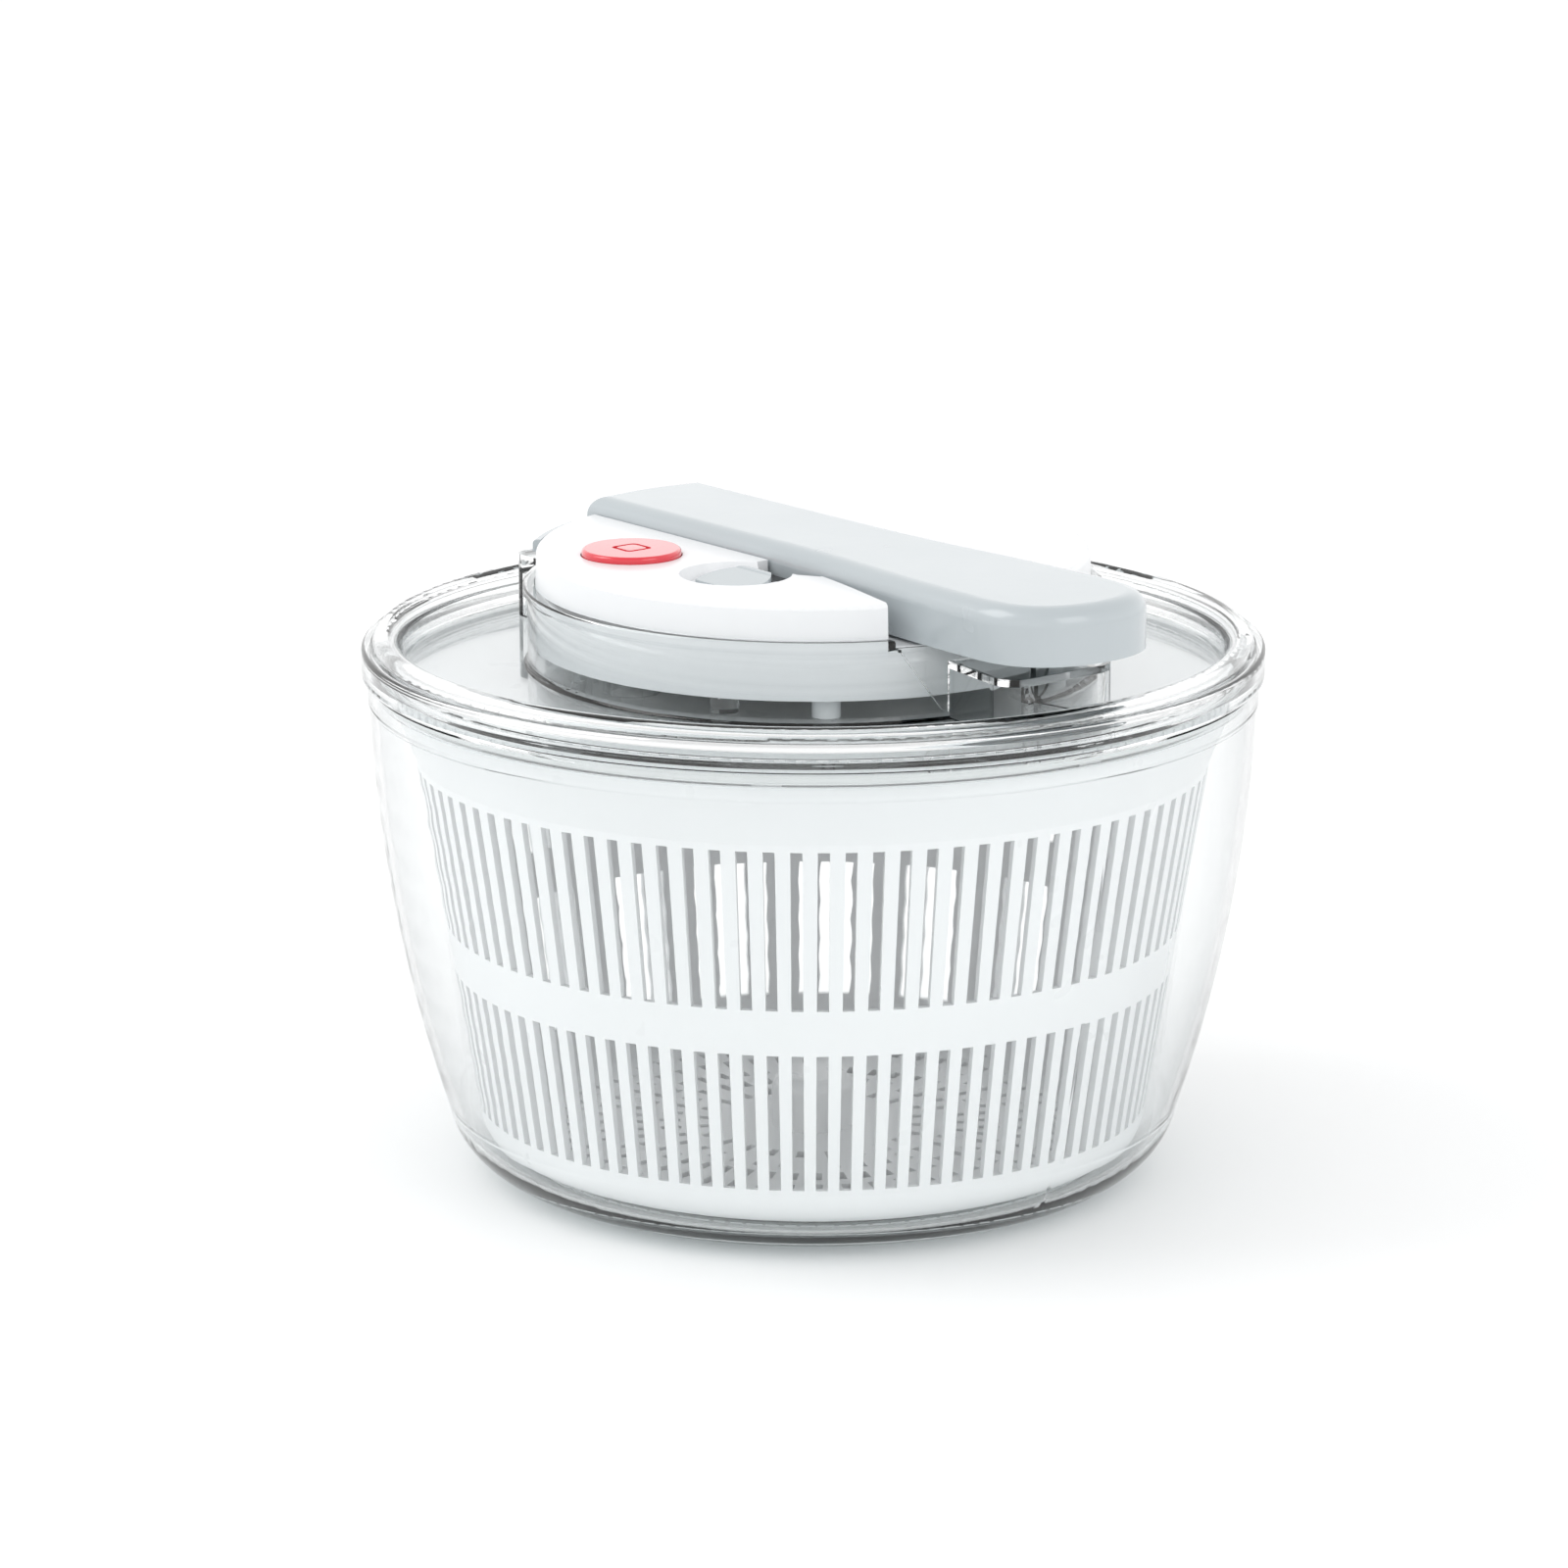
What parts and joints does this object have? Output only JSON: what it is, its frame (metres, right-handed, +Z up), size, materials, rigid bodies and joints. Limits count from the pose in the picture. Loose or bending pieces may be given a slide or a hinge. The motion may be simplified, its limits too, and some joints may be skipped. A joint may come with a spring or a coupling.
{
  "type": "salad spinner",
  "caption": "Hand salad spinner: clear bowl and lid, slotted white basket, hinged grey lever that drives a gear train, red brake button and slide latch.",
  "frame": {"origin": "centre of the foot ring, on the surface that the bowl stands on", "axes": "+Z up, the spin axis; +X along the lever from its hinge to its grip"},
  "size_m": [0.26, 0.26, 0.1873],
  "materials": {
    "clear_plastic": "clear gloss styrene",
    "white_plastic": "gloss",
    "lever_grey": "gloss",
    "stop_red": "gloss",
    "soft_rubber": "matte silicone",
    "steel": "bright",
    "bearing_white": "satin",
    "black_plastic": "satin",
    "gear_nylon": "satin"
  },
  "bodies": {
    "bowl_body": {"bowl": "clear_plastic", "non_slip_ring": "soft_rubber", "basket_pivot_pin": "steel"},
    "basket_carrier": {"basket_bearing_cup": "bearing_white"},
    "basket_body": {"basket": "white_plastic"},
    "lid_body": {"lid_shell": "clear_plastic", "lid_seal": "soft_rubber", "mechanism_cover": "white_plastic", "latch_guide": "black_plastic", "cover_screws": "steel", "plate_screws": "steel", "lever_hinge_pin": "steel", "lever_return_spring": "steel", "gear_plate": "bearing_white", "transfer_axle": "steel", "drive_bush": "bearing_white", "brake_spring": "steel"},
    "lever_body": {"lever": "lever_grey", "lever_sector": "gear_nylon", "sector_screws": "steel"},
    "rack_body": {"drive_rack": "gear_nylon"},
    "transfer_body": {"transfer_gear": "gear_nylon"},
    "drive_gear_body": {"drive_gear": "gear_nylon"},
    "disc_body": {"drive_disc": "white_plastic", "drive_spindle": "steel", "ratchet_pawls": "gear_nylon", "spindle_clip": "steel"},
    "brake_body": {"brake_button": "stop_red", "brake_plunger": "bearing_white", "brake_pad": "soft_rubber"},
    "latch_body": {"lever_latch": "lever_grey"}
  },
  "joints": [
    {"name": "lid_lift", "type": "slide", "parent": "bowl_body", "child": "lid_body", "axis": [0, 0, 1], "range_m": [0, 0.32]},
    {"name": "basket_lift", "type": "slide", "parent": "bowl_body", "child": "basket_carrier", "axis": [0, 0, 1], "range_m": [0, 0.16]},
    {"name": "basket_spin", "type": "hinge", "parent": "basket_carrier", "child": "basket_body", "pos_m": [0, 0, 0.015], "axis": [0, 0, 1], "continuous": true},
    {"name": "disc_spin", "type": "hinge", "parent": "lid_body", "child": "disc_body", "pos_m": [0, 0, 0.1434], "axis": [0, 0, 1], "continuous": true},
    {"name": "lever_lift", "type": "hinge", "parent": "lid_body", "child": "lever_body", "pos_m": [-0.062, 0, 0.174], "axis": [0, -1, 0], "range_deg": [0, 28]},
    {"name": "rack_slide", "type": "slide", "parent": "lid_body", "child": "rack_body", "axis": [1, 0, 0], "range_m": [0, 0.00831]},
    {"name": "transfer_spin", "type": "hinge", "parent": "lid_body", "child": "transfer_body", "pos_m": [-0.03181, 0.012, 0.153], "axis": [0, 0, 1], "range_deg": [0, 79.34]},
    {"name": "drive_gear_spin", "type": "hinge", "parent": "lid_body", "child": "drive_gear_body", "pos_m": [0, 0, 0.15], "axis": [0, 0, 1], "range_deg": [-370.27, 0]},
    {"name": "brake_press", "type": "slide", "parent": "lid_body", "child": "brake_body", "axis": [0, 0, -1], "range_m": [0, 0.003], "stiffness_N_per_m": 250, "springref_m": -0.002, "deforming": ["brake_spring"]},
    {"name": "latch_slide", "type": "slide", "parent": "lid_body", "child": "latch_body", "axis": [0, 1, 0], "range_m": [0, 0.0045]}
  ],
  "couplings": [
    {"joint": "basket_lift", "follows": "lid_lift", "ratio": 0.5},
    {"joint": "basket_spin", "follows": "disc_spin", "ratio": 1},
    {"joint": "rack_slide", "follows": "lever_lift", "m_per_rad": 0.017},
    {"joint": "transfer_spin", "follows": "lever_lift", "ratio": 2.8333},
    {"joint": "drive_gear_spin", "follows": "lever_lift", "ratio": -13.222}
  ]
}
